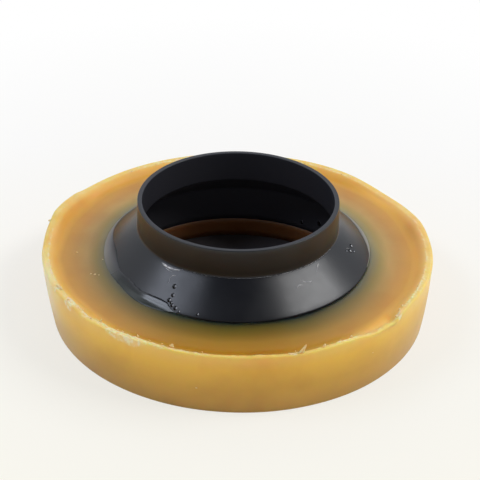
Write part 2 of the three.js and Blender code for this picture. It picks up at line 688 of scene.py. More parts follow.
@dataclass(frozen=True)
class WaxSkin:
    """A skin of wax, run up the horn and set: it starts in the dish's colour and thins out upwards until
    the black shows through, and it is glossier than the plastic.
    As on the dish, it is painted paler at the back and sides and darker in front: painted light and shade."""

    front_foot: str = "#252c28"
    back_foot_lit: str = "#98948a"
    front_middle: str = "#14171c"
    back_middle_lit: str = "#797a7c"
    thin: str = "#17181c"
    front_roughness: float = 0.17
    back_roughness: float = 0.6
    ior: float = 1.49
    streak_size: float = 2.5
    foot_radius: float = 47.4
    thin_radius: float = 43.8
    middle: float = 0.45
    side_reach: tuple[float, float] = (-23.5, -5.0)

    def make(self) -> bpy.types.Material:
        """Builds the material.

        Returns:
            The skin's material.
        """
        material, tree = new_material("wax_skin")
        place = add_node(tree, "ShaderNodeTexCoord").outputs["Object"]
        parts = add_node(tree, "ShaderNodeSeparateXYZ", links={0: place}).outputs
        flat = add_node(tree, "ShaderNodeCombineXYZ", links={0: parts[0], 1: parts[1]}).outputs[0]
        radius = add_node(
            tree, "ShaderNodeVectorMath", {"operation": "LENGTH"}, {0: flat}
        ).outputs["Value"]
        # Painted light: paler colours at the back and sides, darker in front.
        front_end, back_end = self.side_reach
        side = add_node(
            tree,
            "ShaderNodeMapRange",
            {FROM_LOW: front_end * MM, FROM_HIGH: back_end * MM},
            {0: parts[1]},
        ).outputs[0]
        foot, middle = (
            add_node(
                tree,
                "ShaderNodeMix",
                {"data_type": "RGBA", COLOUR_A: linear(front), COLOUR_B: linear(back)},
                {"Factor": side},
            ).outputs[COLOUR_OUT]
            for front, back in (
                (self.front_foot, self.back_foot_lit),
                (self.front_middle, self.back_middle_lit),
            )
        )
        climb = add_node(
            tree,
            "ShaderNodeMapRange",
            {FROM_LOW: self.foot_radius * MM, FROM_HIGH: self.thin_radius * MM},
            {0: radius},
        ).outputs[0]
        near_top = add_node(
            tree, "ShaderNodeMapRange", {FROM_LOW: self.middle, FROM_HIGH: 1.0}, {0: climb}
        ).outputs[0]
        upper = add_node(
            tree,
            "ShaderNodeMix",
            {"data_type": "RGBA", COLOUR_B: linear(self.thin)},
            {"Factor": near_top, COLOUR_A: middle},
        ).outputs[COLOUR_OUT]
        near_foot = add_node(
            tree, "ShaderNodeMapRange", {FROM_LOW: 0.0, FROM_HIGH: self.middle}, {0: climb}
        ).outputs[0]
        colour = add_node(
            tree,
            "ShaderNodeMix",
            {"data_type": "RGBA"},
            {"Factor": near_foot, COLOUR_A: foot, COLOUR_B: upper},
        ).outputs[COLOUR_OUT]
        rough = add_node(
            tree,
            "ShaderNodeMapRange",
            {TO_LOW: self.front_roughness, TO_HIGH: self.back_roughness},
            {0: side},
        ).outputs[0]
        streak = add_node(
            tree,
            "ShaderNodeTexNoise",
            {"Scale": 1 / (self.streak_size * MM), "Detail": 3.0},
            {"Vector": place},
        ).outputs["Fac"]
        bump = add_node(
            tree, "ShaderNodeBump", {"Strength": 0.15, "Distance": 0.05 * MM}, {"Height": streak}
        ).outputs[0]
        shader = add_node(
            tree,
            "ShaderNodeBsdfPrincipled",
            {"IOR": self.ior},
            {"Base Color": colour, "Roughness": rough, "Normal": bump},
        )
        add_node(tree, "ShaderNodeOutputMaterial", links={0: shader.outputs[0]})
        return material


@dataclass(frozen=True)
class ClearDrop:
    """Beads that sweated out of the wax and set on the horn: clear and glossy, so each is a dark dot that
    shows the black below it.
    A pale spot is painted on the side away from the lamp: a painted glow for the light the bead gathers."""

    dark: str = "#050507"
    cloudy: str = "#0c0d10"
    lit: str = "#a9acb4"
    lit_side: tuple[float, float, float] = (0.50, -0.66, 0.56)
    spot: tuple[float, float] = (0.80, 0.95)
    roughness: float = 0.06
    ior: float = 1.33
    ripple_size: float = 0.6

    def make(self) -> bpy.types.Material:
        """Builds the material.

        Returns:
            The beads' material.
        """
        material, tree = new_material("clear_drop")
        place = add_node(tree, "ShaderNodeTexCoord").outputs["Object"]
        ripple = add_node(
            tree,
            "ShaderNodeTexNoise",
            {"Scale": 1 / (self.ripple_size * MM)},
            {"Vector": place},
        ).outputs["Fac"]
        colour = add_node(
            tree,
            "ShaderNodeMix",
            {"data_type": "RGBA", COLOUR_A: linear(self.dark), COLOUR_B: linear(self.cloudy)},
            {"Factor": ripple},
        ).outputs[COLOUR_OUT]
        # Painted glow: the side that faces away from the left lamp is made pale.
        facing = add_node(tree, "ShaderNodeNewGeometry").outputs["Normal"]
        towards = add_node(
            tree, "ShaderNodeVectorMath", {"operation": "DOT_PRODUCT", 1: self.lit_side}, {0: facing}
        ).outputs["Value"]
        spot_edge, spot_full = self.spot
        gathered = add_node(
            tree, "ShaderNodeMapRange", {FROM_LOW: spot_edge, FROM_HIGH: spot_full}, {0: towards}
        ).outputs[0]
        colour = add_node(
            tree,
            "ShaderNodeMix",
            {"data_type": "RGBA", COLOUR_B: linear(self.lit)},
            {"Factor": gathered, COLOUR_A: colour},
        ).outputs[COLOUR_OUT]
        bump = add_node(
            tree, "ShaderNodeBump", {"Strength": 0.1, "Distance": 0.03 * MM}, {"Height": ripple}
        ).outputs[0]
        shader = add_node(
            tree,
            "ShaderNodeBsdfPrincipled",
            {"Roughness": self.roughness, "IOR": self.ior},
            {"Base Color": colour, "Normal": bump},
        )
        add_node(tree, "ShaderNodeOutputMaterial", links={0: shader.outputs[0]})
        return material


@dataclass(frozen=True)
class ScuffsAndPaintedHighlights:
    """The horn's plastic where it was nicked and scuffed: the surface has whitened.
    Its pale colour also paints highlights: a thin line along the bend at the collar's foot and a bright
    strip at the line's left end."""

    grey: str = "#8f8e92"
    # The pale also paints the highlights at the collar's foot.
    pale: str = "#f6f5f4"
    roughness: float = 0.3
    ior: float = 1.51
    mottle_size: float = 1.2

    def make(self) -> bpy.types.Material:
        """Builds the material.

        Returns:
            The scuffs' material.
        """
        material, tree = new_material("scuffed_polyethylene_and_painted_highlights")
        place = add_node(tree, "ShaderNodeTexCoord").outputs["Object"]
        mottle = add_node(
            tree,
            "ShaderNodeTexNoise",
            {"Scale": 1 / (self.mottle_size * MM), "Detail": 2.0},
            {"Vector": place},
        ).outputs["Fac"]
        colour = add_node(
            tree,
            "ShaderNodeValToRGB",
            {"stops": [(0.35, linear(self.grey)), (0.65, linear(self.pale))]},
            {0: mottle},
        ).outputs[0]
        shader = add_node(
            tree,
            "ShaderNodeBsdfPrincipled",
            {"Roughness": self.roughness, "IOR": self.ior},
            {"Base Color": colour},
        )
        add_node(tree, "ShaderNodeOutputMaterial", links={0: shader.outputs[0]})
        return material


@dataclass(frozen=True)
class StudioPaper:
    """White background paper: matt, bright and even, and it keeps the soft shadow of what stands on it."""

    white: str = "#fbf8f1"
    warm: str = "#fffdf4"
    even_near: float = 0.70
    near: float = 70.0
    far: float = 260.0
    tint_depths: tuple[float, float] = (-100.0, 120.0)
    fibre_size: float = 10 / 9

    def make(self) -> bpy.types.Material:
        """Builds the material.

        Returns:
            The paper's material.
        """
        material, tree = new_material("studio_paper")
        place = add_node(tree, "ShaderNodeTexCoord").outputs["Object"]
        distance = add_node(
            tree, "ShaderNodeVectorMath", {"operation": "LENGTH"}, {0: place}
        ).outputs["Value"]
        share = add_node(
            tree,
            "ShaderNodeMapRange",
            {FROM_LOW: self.near * MM, FROM_HIGH: self.far * MM, TO_LOW: self.even_near, TO_HIGH: 1.0},
            {0: distance},
        ).outputs[0]
        rays = add_node(tree, "ShaderNodeLightPath").outputs
        seen = rays["Is Camera Ray"]
        for kind in ("Is Glossy Ray", "Is Transmission Ray"):
            seen = add_node(
                tree, "ShaderNodeMath", {"operation": "MAXIMUM"}, {0: seen, 1: rays[kind]}
            ).outputs[0]
        lit_share = add_node(
            tree, "ShaderNodeMath", {"operation": "MULTIPLY"}, {0: share, 1: seen}
        ).outputs[0]
        fibre = add_node(
            tree,
            "ShaderNodeTexNoise",
            {"Scale": 1 / (self.fibre_size * MM), "Detail": 2.0},
            {"Vector": place},
        ).outputs["Fac"]
        bump = add_node(
            tree, "ShaderNodeBump", {"Strength": 0.05, "Distance": 0.02 * MM}, {"Height": fibre}
        ).outputs[0]
        matt = add_node(
            tree,
            "ShaderNodeBsdfDiffuse",
            {"Color": linear(self.white), "Roughness": 1.0},
            {"Normal": bump},
        ).outputs[0]
        depth = add_node(tree, "ShaderNodeSeparateXYZ", links={0: place}).outputs[1]
        front, back = self.tint_depths
        behind = add_node(
            tree, "ShaderNodeMapRange", {FROM_LOW: front * MM, FROM_HIGH: back * MM}, {0: depth}
        ).outputs[0]
        tint = add_node(
            tree,
            "ShaderNodeMix",
            {"data_type": "RGBA", COLOUR_A: linear(self.warm), COLOUR_B: (1.0, 1.0, 1.0, 1.0)},
            {"Factor": behind},
        ).outputs[COLOUR_OUT]
        bright = add_node(tree, "ShaderNodeEmission", {"Strength": 1.0}, {"Color": tint}).outputs[0]
        both = add_node(
            tree, "ShaderNodeMixShader", links={0: lit_share, 1: matt, 2: bright}
        ).outputs[0]
        add_node(tree, "ShaderNodeOutputMaterial", links={0: both})
        return material


@dataclass(frozen=True)
class ShadeDisc:
    """A dark grey disc under the seal, which shows dark and a little glossy through the horn's bore:
    painted shade on the floor there.
    """

    grey: str = "#5c5a5d"
    roughness: float = 0.35
    unevenness: float = 0.03
    speck_size: float = 3.0

    def make(self) -> bpy.types.Material:
        """Builds the material.

        Returns:
            The bench's material.
        """
        material, tree = new_material("painted_shade_disc")
        place = add_node(tree, "ShaderNodeTexCoord").outputs["Object"]
        speck = add_node(
            tree, "ShaderNodeTexNoise", {"Scale": 1 / (self.speck_size * MM)}, {"Vector": place}
        ).outputs["Fac"]
        rough = add_node(
            tree,
            "ShaderNodeMapRange",
            {TO_LOW: self.roughness - self.unevenness, TO_HIGH: self.roughness + self.unevenness},
            {0: speck},
        ).outputs[0]
        shader = add_node(
            tree, "ShaderNodeBsdfPrincipled", {"Base Color": linear(self.grey)}, {"Roughness": rough}
        )
        add_node(tree, "ShaderNodeOutputMaterial", links={0: shader.outputs[0]})
        return material


@dataclass
class Horn:
    """The black horn: a short collar on a cone, and a skirt and a brim that stay hidden in the wax."""

    wall: float = 1.7
    collar_radius: float = 35.7
    cone_top_radius: float = 35.8
    cone_foot_radius: float = 47.3
    skirt_foot_radius: float = 47.85
    brim_radius: float = 56.85
    brim_underside: float = 8.0
    cone_foot_height: float = 22.8
    cone_top_height: float = 32.8
    mouth_height: float = 43.2
    inner_cone_foot: tuple[float, float] = (45.632, 21.997)
    inner_cone_top: tuple[float, float] = (34.107, 32.019)
    inner_skirt_foot: float = 46.24
    mouth_round: float = 0.28
    bend_round: float = 0.5
    foot_round: float = 0.28
    inner_round: float = 0.4
    brim_fillet: float = 1.2
    columns: int = 288

    def on_cone(self, degrees: float, height: float, lift: float = 0.0) -> np.ndarray:
        """A point on the cone's outside.

        Args:
            degrees: angle round the axis.
            height: height above the seat.
            lift: distance off the surface.
        Returns:
            The point in millimetres.
        """
        share = (height - self.cone_foot_height) / (self.cone_top_height - self.cone_foot_height)
        radius = self.cone_foot_radius + share * (self.cone_top_radius - self.cone_foot_radius)
        slope = self.cone_normal()
        radius += lift * slope[0]
        angle = math.radians(degrees)
        return np.array([radius * math.cos(angle), radius * math.sin(angle), height + lift * slope[1]])

    def cone_normal(self) -> tuple[float, float]:
        """The cone's outward direction as radius and height, one long."""
        rise = self.cone_top_height - self.cone_foot_height
        run = self.cone_foot_radius - self.cone_top_radius
        length = math.hypot(rise, run)
        return rise / length, run / length

    def bend(
        self,
        before: tuple[float, float],
        corner: tuple[float, float],
        after: tuple[float, float],
        size: float,
    ) -> list[tuple[float, float]]:
        """Rounds one bend of the section.

        Args:
            before: the point before the bend.
            corner: the bend's sharp corner.
            after: the point after it.
            size: length cut off each side.
        Returns:
            Points through the rounded bend.
        """
        start = tuple(np.array(corner) + size * self.unit(corner, before))
        end = tuple(np.array(corner) + size * self.unit(corner, after))
        return [start] + curve(start, corner, end, 4)

    @staticmethod
    def unit(start: tuple, end: tuple) -> np.ndarray:
        """Direction from one section point to another, one long."""
        step = np.array(end) - np.array(start)
        return step / np.linalg.norm(step)

    def section(self) -> list[tuple[float, float]]:
        """The closed outline of the wall.

        Returns:
            Radius and height of each point, from the brim's underside up the outside and down the
            inside.
        """
        tip = self.wall / 2
        brim_top = self.brim_underside + self.wall
        skirt_foot = (self.skirt_foot_radius, brim_top)
        cone_foot = (self.cone_foot_radius, self.cone_foot_height)
        cone_top = (self.cone_top_radius, self.cone_top_height)
        mouth_out = (self.collar_radius, self.mouth_height)
        mouth_in = (self.collar_radius - self.wall, self.mouth_height)
        inner_foot = (self.inner_skirt_foot, self.brim_underside)
        points = [inner_foot]
        points += line(inner_foot, (self.brim_radius - tip, self.brim_underside), 3)
        for i in range(1, 8):
            angle = -math.pi / 2 + i * math.pi / 8
            points.append(
                (
                    self.brim_radius - tip + tip * math.cos(angle),
                    self.brim_underside + tip + tip * math.sin(angle),
                )
            )
        points.append((self.brim_radius - tip, brim_top))
        points += self.bend((self.brim_radius - tip, brim_top), skirt_foot, cone_foot, self.brim_fillet)
        points += self.bend(skirt_foot, cone_foot, cone_top, self.foot_round)
        bends = (
            (self.bend(cone_foot, cone_top, mouth_out, self.bend_round), 10),
            (self.bend(cone_top, mouth_out, mouth_in, self.mouth_round), 8),
            (self.bend(mouth_out, mouth_in, self.inner_cone_top, self.mouth_round), 0),
            (self.bend(mouth_in, self.inner_cone_top, self.inner_cone_foot, self.inner_round), 8),
            (self.bend(self.inner_cone_top, self.inner_cone_foot, inner_foot, self.inner_round), 8),
        )
        for bend, steps in bends:
            points += line(points[-1], bend[0], steps)[:-1] + bend
        points += line(points[-1], inner_foot, 6)[:-1]
        return points

    def build(self, finish: bpy.types.Material) -> bpy.types.Object:
        """Builds the horn.

        Args:
            finish: the polyethylene.
        Returns:
            The piece that stands for the horn's solid.
        """
        outline = np.array(self.section())
        turn = np.linspace(0, 2 * math.pi, self.columns, endpoint=False)
        points = np.empty((len(outline), self.columns, 3))
        points[..., 0] = outline[:, :1] * np.cos(turn)
        points[..., 1] = outline[:, :1] * np.sin(turn)
        points[..., 2] = outline[:, 1:]
        faces = ring_faces(*points.shape[:2], closed=True)
        piece = mesh_piece("horn_moulding", points, faces, Slot.HORN, finish)
        degrees = np.degrees(np.arctan2(points[..., 1], points[..., 0])) % 360
        add_values(piece, "rubbed", self.rubbing(points, degrees))
        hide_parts("horn")
        return piece

    def rubbing(self, points: np.ndarray, degrees: np.ndarray) -> np.ndarray:
        """How much each corner of the horn is made matt and grey: rubbed in a streak outside, and painted
        light over the inner face.

        Args:
            points: the horn's corners.
            degrees: their angles round the axis.
        Returns:
            Shares from 0 to 1.
        """
        height = points[..., 2]
        streak = np.exp(-((turn_away(degrees, 317.5) / 1.6) ** 2) - ((height - 31.0) / 0.8) ** 2)
        # Painted light: the inner face is greyer, fully below the collar and half within it.
        inside = np.hypot(points[..., 0], points[..., 1]) < self.inner_radius(height) + 0.6
        return np.clip(0.2 * streak + inside * np.where(height > 32.0, 0.5, 1.0), 0.0, 1.0)

    def inner_radius(self, height: np.ndarray) -> np.ndarray:
        """Radius of the inner face at each height."""
        low, high = self.inner_cone_foot, self.inner_cone_top
        heights = (self.brim_underside, low[1], high[1])
        return np.interp(height, heights, (self.inner_skirt_foot, low[0], high[0]))


@dataclass
class WaxRing:
    """The wax ring: a drafted wall, a torn uneven lip and a dished top that meets the horn."""

    shoulder_radius: float = 70.0
    seat_radius: float = 67.5
    shoulder_height: float = 23.2
    crest_height: float = 24.1
    crest_round: float = 0.9
    crest_width: float = 1.7
    crest_dip: float = 0.2
    crest_inner_radius: float = 67.4
    crest_narrows: float = 1.3
    lip_foot_radius: float = 62.6
    slope_middle: tuple[float, float] = (65.2, 22.55)
    dish_height: float = 21.6
    meet_radius: float = 47.33
    meet_height: float = 22.7
    bared_skirt: float = 0.4
    wall_bulge: float = 0.3
    seat_edge: float = 0.4
    seat_shift: float = 0.54
    bore_seat_radius: float = 47.15
    bore_top_radius: float = 46.32
    under_brim: float = 7.95
    brim_top: float = 9.7
    brim_radius: float = 56.85
    skirt_radius: float = 47.85
    clearance: float = 0.3
    cavity_fillet: float = 0.9
    front_columns: int = 620
    back_columns: int = 360
    swells: tuple[Swell, ...] = (
        Swell(162, 11, 2.3),
        Swell(37, 12, -1.3),
        Swell(14, 6, 0.7),
        Swell(331, 7, 0.5),
        Swell(219, 7, 0.45),
        Swell(152, 3, 0.4),
        Swell(166, 3, 0.5),
        Swell(181, 4, -0.9),
        Swell(244, 9, 0.6),
        Swell(288, 7, -0.55),
        Swell(310, 3, -0.5),
        Swell(315.5, 7, -1.75),
        Swell(320.5, 2.2, -1.1),
        Swell(223.5, 2.5, -0.8),
    )
    scrapes: tuple[Swell, ...] = (
        Swell(238, 10, 1.0),
        Swell(215.5, 3.2, 0.9),
        Swell(222.5, 2.0, 0.5),
        Swell(206.5, 1.3, 0.8),
        Swell(255, 8, 0.45),
        Swell(286, 1.6, 0.6),
        Swell(303, 3.0, 0.4),
        Swell(322.5, 1.3, 0.8),
        Swell(335, 9.0, 0.5),
        Swell(112, 14, 0.5),
        Swell(60, 18, 0.4),
    )
    double_edge: Swell = Swell(237, 8, 1.2)
    pale_patch: Swell = Swell(197.5, 9, 0.62)
    pale_patch_heights: tuple[float, float] = (4.0, 16.0)
    under_top: float = 20.0
    radius_limit: float = 69.98

    def section(self) -> tuple[np.ndarray, np.ndarray, np.ndarray]:
        """The closed outline of the ring, dense at the lip.

        Returns:
            Points as radius and height, each point's share of the lip's unevenness, and its distance along
            the surface from the crest's inner edge, which is less than 0 towards the dish.
        """
        seat_edge = (self.seat_radius, self.seat_edge)
        shoulder = (self.shoulder_radius, self.shoulder_height)
        crest_out = (self.shoulder_radius - self.crest_round, self.crest_height)
        crest_in = (crest_out[0] - self.crest_width, self.crest_height - self.crest_dip)
        lip_foot = (self.lip_foot_radius, self.dish_height)
        meet = (self.meet_radius, self.meet_height)
        slope_end = self.slope_middle
        points = [(self.bore_seat_radius, 0.0)]
        points += line(points[0], (self.seat_radius - self.seat_edge, 0.0), 3)
        points += curve(points[-1], (self.seat_radius, 0.0), seat_edge, 3)
        wall_radius = (self.seat_radius + self.shoulder_radius) / 2 + 2 * self.wall_bulge
        wall = curve(seat_edge, (wall_radius, self.shoulder_height / 2), shoulder, 60)
        points += [wall[i] for i in (*range(4, 35, 5), 38, 42, 45, 48, 50, *range(52, 60))]
        points += curve(shoulder, (self.shoulder_radius, self.crest_height), crest_out, 6)
        points += line(crest_out, crest_in, 9)
        crest_row = len(points) - 1
        points += curve(crest_in, (crest_in[0] - 0.55, crest_in[1] - 0.1), slope_end, 6)
        points += curve(slope_end, (64.0, self.dish_height + 0.02), lip_foot, 5)
        last_lip = len(points)
        points += curve(lip_foot, ((lip_foot[0] + meet[0]) / 2, self.dish_height), meet, 16)
        cavity_top = self.brim_top + self.clearance
        skirt = self.skirt_radius + self.clearance
        fillet = self.cavity_fillet
        points += line(meet, (skirt - 0.05, cavity_top + fillet), 4)
        points += curve(points[-1], (skirt, cavity_top), (skirt + fillet, cavity_top), 3)
        half = (self.brim_top - self.under_brim - self.clearance) / 2
        tip = half + self.clearance
        centre = (self.brim_radius - half, self.brim_top - half)
        points.append((centre[0], cavity_top))
        for i in range(1, 4):
            angle = math.pi / 2 - i * math.pi / 4
            points.append((centre[0] + tip * math.cos(angle), centre[1] + tip * math.sin(angle)))
        points.append((centre[0], self.under_brim))
        points += line(points[-1], (self.bore_top_radius, self.under_brim), 3)
        points += line(points[-1], points[0], 3)[:-1]
        outline = np.array(points)
        rise = (outline[:, 1] - self.dish_height) / (self.shoulder_height - self.dish_height)
        share = np.zeros(len(points))
        share[:last_lip] = np.clip(rise[:last_lip], 0.0, 1.0)
        steps = np.hypot(*np.diff(outline, axis=0, prepend=outline[:1]).T)
        along = np.cumsum(steps)
        along = along[crest_row] - along
        return outline, share, along

    def angles(self) -> np.ndarray:
        """Angles of the columns in radians, closer together on the side that shows most."""
        back = np.linspace(0, math.pi, self.back_columns, endpoint=False)
        front = np.linspace(math.pi, 2 * math.pi, self.front_columns, endpoint=False)
        return np.concatenate([back, front])

    def build(self, finish: bpy.types.Material) -> bpy.types.Object:
        """Builds the ring: it lifts the even section's lip, narrows its crest at the front, tears it, and
        lowers the dish where the horn's skirt is bared.

        Args:
            finish: the cast wax.
        Returns:
            The piece that stands for the ring's solid.
        """
        outline, share, along = self.section()
        turn = self.angles()
        degrees = np.degrees(turn)
        radius = np.repeat(outline[:, :1], len(turn), axis=1)
        height = np.repeat(outline[:, 1:], len(turn), axis=1)
        even = np.stack([radius * np.cos(turn), radius * np.sin(turn), height], axis=-1)
        height = height + share[:, None] * sum_of(self.swells, degrees)[None, :]
        front = smooth_step(degrees, 196.0, 250.0) * (1 - smooth_step(degrees, 318.0, 350.0))
        crest, foot, shoulder = self.crest_inner_radius, self.lip_foot_radius, self.shoulder_radius
        slope = np.clip((outline[:, 0] - foot) / (crest - foot), 0.0, 1.0)
        crown = np.clip((shoulder - outline[:, 0]) / (shoulder - crest), 0.0, 1.0)
        moved = np.minimum(slope, crown) * (share > 0.001)
        radius = radius + self.crest_narrows * moved[:, None] * front[None, :]
        torn = self.tear(even, along, degrees, radius, height)

        on_wall = smooth_step(outline[:, 0], crest - 1.4, crest)[:, None] * (along > 0)[:, None]
        # A paler patch on the wall at the left, between two heights, mixed into the same pale colour.
        pale_patch = self.pale_patch.over(degrees)[None, :] * on_wall * smooth_step(height, *self.pale_patch_heights)
        torn = np.maximum(torn, pale_patch)
        on_dish = (
            smooth_step(outline[:, 0], 49.0, 54.0) * (along < -1.0) * (outline[:, 1] > self.under_top)
        )[:, None]
        radius = radius + 0.12 * on_wall * (grain(even, 26.0, 3.9) - 0.6)
        height = height + 0.10 * on_dish * grain(even, 14.0, 8.2)
        bared = smooth_step(degrees, 246.0, 262.0) * (1 - smooth_step(degrees, 318.0, 338.0))
        near_horn = np.exp(-(((outline[:, 0] - self.meet_radius) / 1.1) ** 2))
        near_horn = near_horn * (outline[:, 1] > self.under_top)
        height = height - self.bared_skirt * near_horn[:, None] * bared[None, :]
        radius = np.minimum(radius, self.radius_limit)
        shift = self.seat_shift * (1 - smooth_step(height, 0.0, self.shoulder_height)) * on_wall

        points = np.stack([radius * np.cos(turn) + shift, radius * np.sin(turn), height], axis=-1)
        faces = ring_faces(*radius.shape, closed=True)
        piece = mesh_piece("wax_casting", points, faces, Slot.WAX, finish)
        add_values(piece, "torn", torn)
        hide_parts("wax_ring")
        return piece

    def tear(
        self,
        even: np.ndarray,
        along: np.ndarray,
        degrees: np.ndarray,
        radius: np.ndarray,
        height: np.ndarray,
    ) -> np.ndarray:
        """Roughens the lip, and moves its corners' radius and height in place.

        Args:
            even: corners of the ring before its lip is lifted.
            along: each row's distance from the crest's inner edge.
            degrees: each column's angle.
            radius: each corner's radius.
            height: each corner's height.
        Returns:
            How pale each corner is, from 0 to 1: torn wax where it is scraped, and a painted highlight
                along the crest's inner edge and across the crest.
        """
        rows = np.where((along > -2.0) & (along < 9.0))[0]
        place = along[rows][:, None]
        near_lip = even[rows]
        # Bumps of three sizes, which lift the lip and break up its pale marks.
        coarse = grain(near_lip, 3.2, 11.3)
        middle = grain(near_lip, 1.2, 27.1)
        fine = grain(near_lip, 0.6, 41.7)
        # Scraped places reach down the wall. The sharp inner edge is left out at the back.
        scrape = np.clip(sum_of(self.scrapes, degrees), 0.0, 1.0)[None, :]
        reach = 1.6 + 3.2 * smooth_step(scrape, 0.35, 1.0) + 1.2 * coarse
        scraped = scrape * smooth_step(place, -0.4, 0.0)
        scraped = scraped * (1 - smooth_step(place, reach - 0.8, reach + 0.3))
        shown = 1 - smooth_step(degrees, 12.0, 25.0) * (1 - smooth_step(degrees, 166.0, 180.0))
        edge = np.exp(-(((place - 0.15) / 0.45) ** 2)) * shown[None, :]
        groove = np.exp(-(((place - 1.3) / 0.45) ** 2))
        outer = np.exp(-(((place - 2.6) / 0.4) ** 2))
        double = np.clip(self.double_edge.over(degrees), 0.0, 1.0)[None, :]
        beads = np.maximum(0.0, grain(near_lip * (1.0, 1.0, 0.2), 1.7, 63.0))
        lift = edge * (0.05 + 0.55 * beads + 0.20 * coarse + 0.20 * middle + 0.10 * fine)
        lift += double * (0.22 * edge - 0.34 * groove + 0.2 * outer * (1 + middle))
        lift += scraped * (0.26 * middle + 0.16 * fine)
        height[rows] += lift
        radius[rows] -= scraped * smooth_step(place, 1.4, 2.6) * (0.16 + 0.22 * middle + 0.16 * fine)
        # Painted highlight: the crest is pale along its inner edge and across its top, more on the left
        # and right sides where the lamps light it. Where the lip is scraped, the pale specks are torn wax.
        band = smooth_step(place, -2.0, 0.8) * (1 - smooth_step(place, 1.6, 3.4))
        mottle = smooth_step(coarse + 0.7 * middle, -0.7, 0.7)
        lit_sides = 0.35 + 0.65 * np.cos(np.radians(degrees))[None, :] ** 2
        crest_highlight_and_scrape = edge * (0.08 + 0.8 * beads + 0.5 * scrape) + band * lit_sides * (0.04 + 0.20 * mottle)
        specks = smooth_step(middle + 0.6 * fine + 0.35 * (scrape - 0.5), 0.05, 0.32)
        torn = np.zeros_like(radius)
        torn[rows] = np.clip(crest_highlight_and_scrape + scraped * (0.35 + 0.9 * specks), 0.0, 1.0)
        return torn

    def crest(self, degrees: float) -> float:
        """Height of the crest at one angle."""
        return self.crest_height + float(sum_of(self.swells, np.array([degrees]))[0])

    def dish(self, radius: float) -> float:
        """Height of the dish at one radius."""
        share = (self.lip_foot_radius - radius) / (self.lip_foot_radius - self.meet_radius)
        return self.dish_height + (self.meet_height - self.dish_height) * share**2


@dataclass
class WaxFilm:
    """Wax that climbed the horn's cone while it was hot: a hollow fillet where it leaves the dish, a thin
    skin with a wandering upper edge, and on the front left a soft roll."""

    horn: Horn
    ring: WaxRing
    start: float = -14.0
    end: float = 245.0
    columns: int = 700
    skin: float = 0.07
    roll: float = 0.42
    step: float = 0.09
    reach: float = 1.5
    edge_radius: float = 44.0
    lowest: float = 0.3
    highest: float = 3.7
    start_fade: float = 30.0
    end_fade: float = 7.0
    climbs: tuple[Swell, ...] = (
        Swell(190, 18, 3.0),
        Swell(216, 12, 1.4),
        Swell(236, 12, 1.9),
        Swell(100, 60, 1.1),
        Swell(17, 22, 1.3),
    )
    rolls: tuple[Swell, ...] = (Swell(228, 11, 1.0), Swell(200, 12, 0.15))

    def climb(self, degrees: np.ndarray) -> np.ndarray:
        """How high the film stands above the cone's foot.

        Args:
            degrees: angles round the axis.
        Returns:
            Heights in millimetres.
        """
        turn = np.radians(degrees)
        places = self.edge_radius * np.stack([np.cos(turn), np.sin(turn), 0 * turn], axis=-1)
        wander = grain(places, 6.0, 5.5) * 0.3 + grain(places, 1.7, 9.5) * 0.08
        heights = np.clip(sum_of(self.climbs, degrees) + wander, self.lowest, self.highest)
        return self.fades(degrees) * heights

    def fades(self, degrees: np.ndarray) -> np.ndarray:
        """The film's strength at each angle, which is 0 at its two ends."""
        started = smooth_step(degrees, self.start, self.start + self.start_fade)
        return started * smooth_step(degrees, self.end, self.end - self.end_fade)

    def build(self, finish: bpy.types.Material) -> bpy.types.Object:
        """Builds the film as a strip that is closed at both ends.

        Args:
            finish: the wax skin.
        Returns:
            The film's piece.
        """
        degrees = np.linspace(self.start, self.end, self.columns)
        strength = 0.05 + 0.95 * self.fades(degrees)
        length = np.maximum(self.climb(degrees), 0.1)
        bulge = np.clip(sum_of(self.rolls, degrees), 0.0, 1.0)
        lift = strength * (self.skin + (self.roll - self.skin) * bulge)
        step = (self.step + 0.07 * bulge) * strength
        reach = strength * self.reach * (0.34 + 0.96 * bulge)
        foot = np.array([self.horn.cone_foot_radius, self.horn.cone_foot_height])
        top = np.array([self.horn.cone_top_radius, self.horn.cone_top_height])
        up_cone = (top - foot) / np.linalg.norm(top - foot)
        length = length / up_cone[1]
        normal = np.array(self.horn.cone_normal())

        def on_cone(share: float, rise: np.ndarray) -> np.ndarray:
            """Section points a share of the way up the film, lifted off the cone."""
            return foot[:, None] + up_cone[:, None] * (length * share) + normal[:, None] * rise

        def on_dish(far: np.ndarray, rise: float) -> np.ndarray:
            """Section points on the dish, some way out from the cone's foot."""
            radius = foot[0] + far
            return np.array([radius, [self.ring.dish(r) + rise for r in radius]])

        outer, on_top = on_dish(reach, 0.0), on_cone(0.25, lift * 0.98 + step)
        corner = foot[:, None] + normal[:, None] * (lift * 0.5) + np.array([[0.35], [0.04]]) * reach
        rows = []
        for t in (i / 6 for i in range(7)):
            rows.append((1 - t) ** 2 * outer + 2 * t * (1 - t) * corner + t * t * on_top)
        for share in (0.35, 0.45, 0.55, 0.65, 0.75, 0.83, 0.9, 0.96):
            crown = 1 - ((share - 0.45) / 0.6) ** 4
            rows.append(on_cone(share, lift * crown + step))
        rows.append(on_cone(1.0, 0.35 * step))
        rows += [on_cone(share, 0 * lift - 0.05) for share in (1.0, 0.5, 0.0)]
        rows.append(on_dish(reach, -0.06))
        section = np.array(rows)
        turn = np.radians(degrees)
        radius, height = section[:, 0], section[:, 1]
        points = np.stack([radius * np.cos(turn), radius * np.sin(turn), height], axis=-1)
        count, columns = points.shape[:2]
        faces = ring_faces(count, columns, closed=True)
        faces = [face for face in faces if abs(face[1] - face[0]) == 1]
        faces.append([row * columns for row in range(count)])
        faces.append([row * columns + columns - 1 for row in reversed(range(count))])
        return mesh_piece("wax_film", points, faces, Slot.WAX, finish)


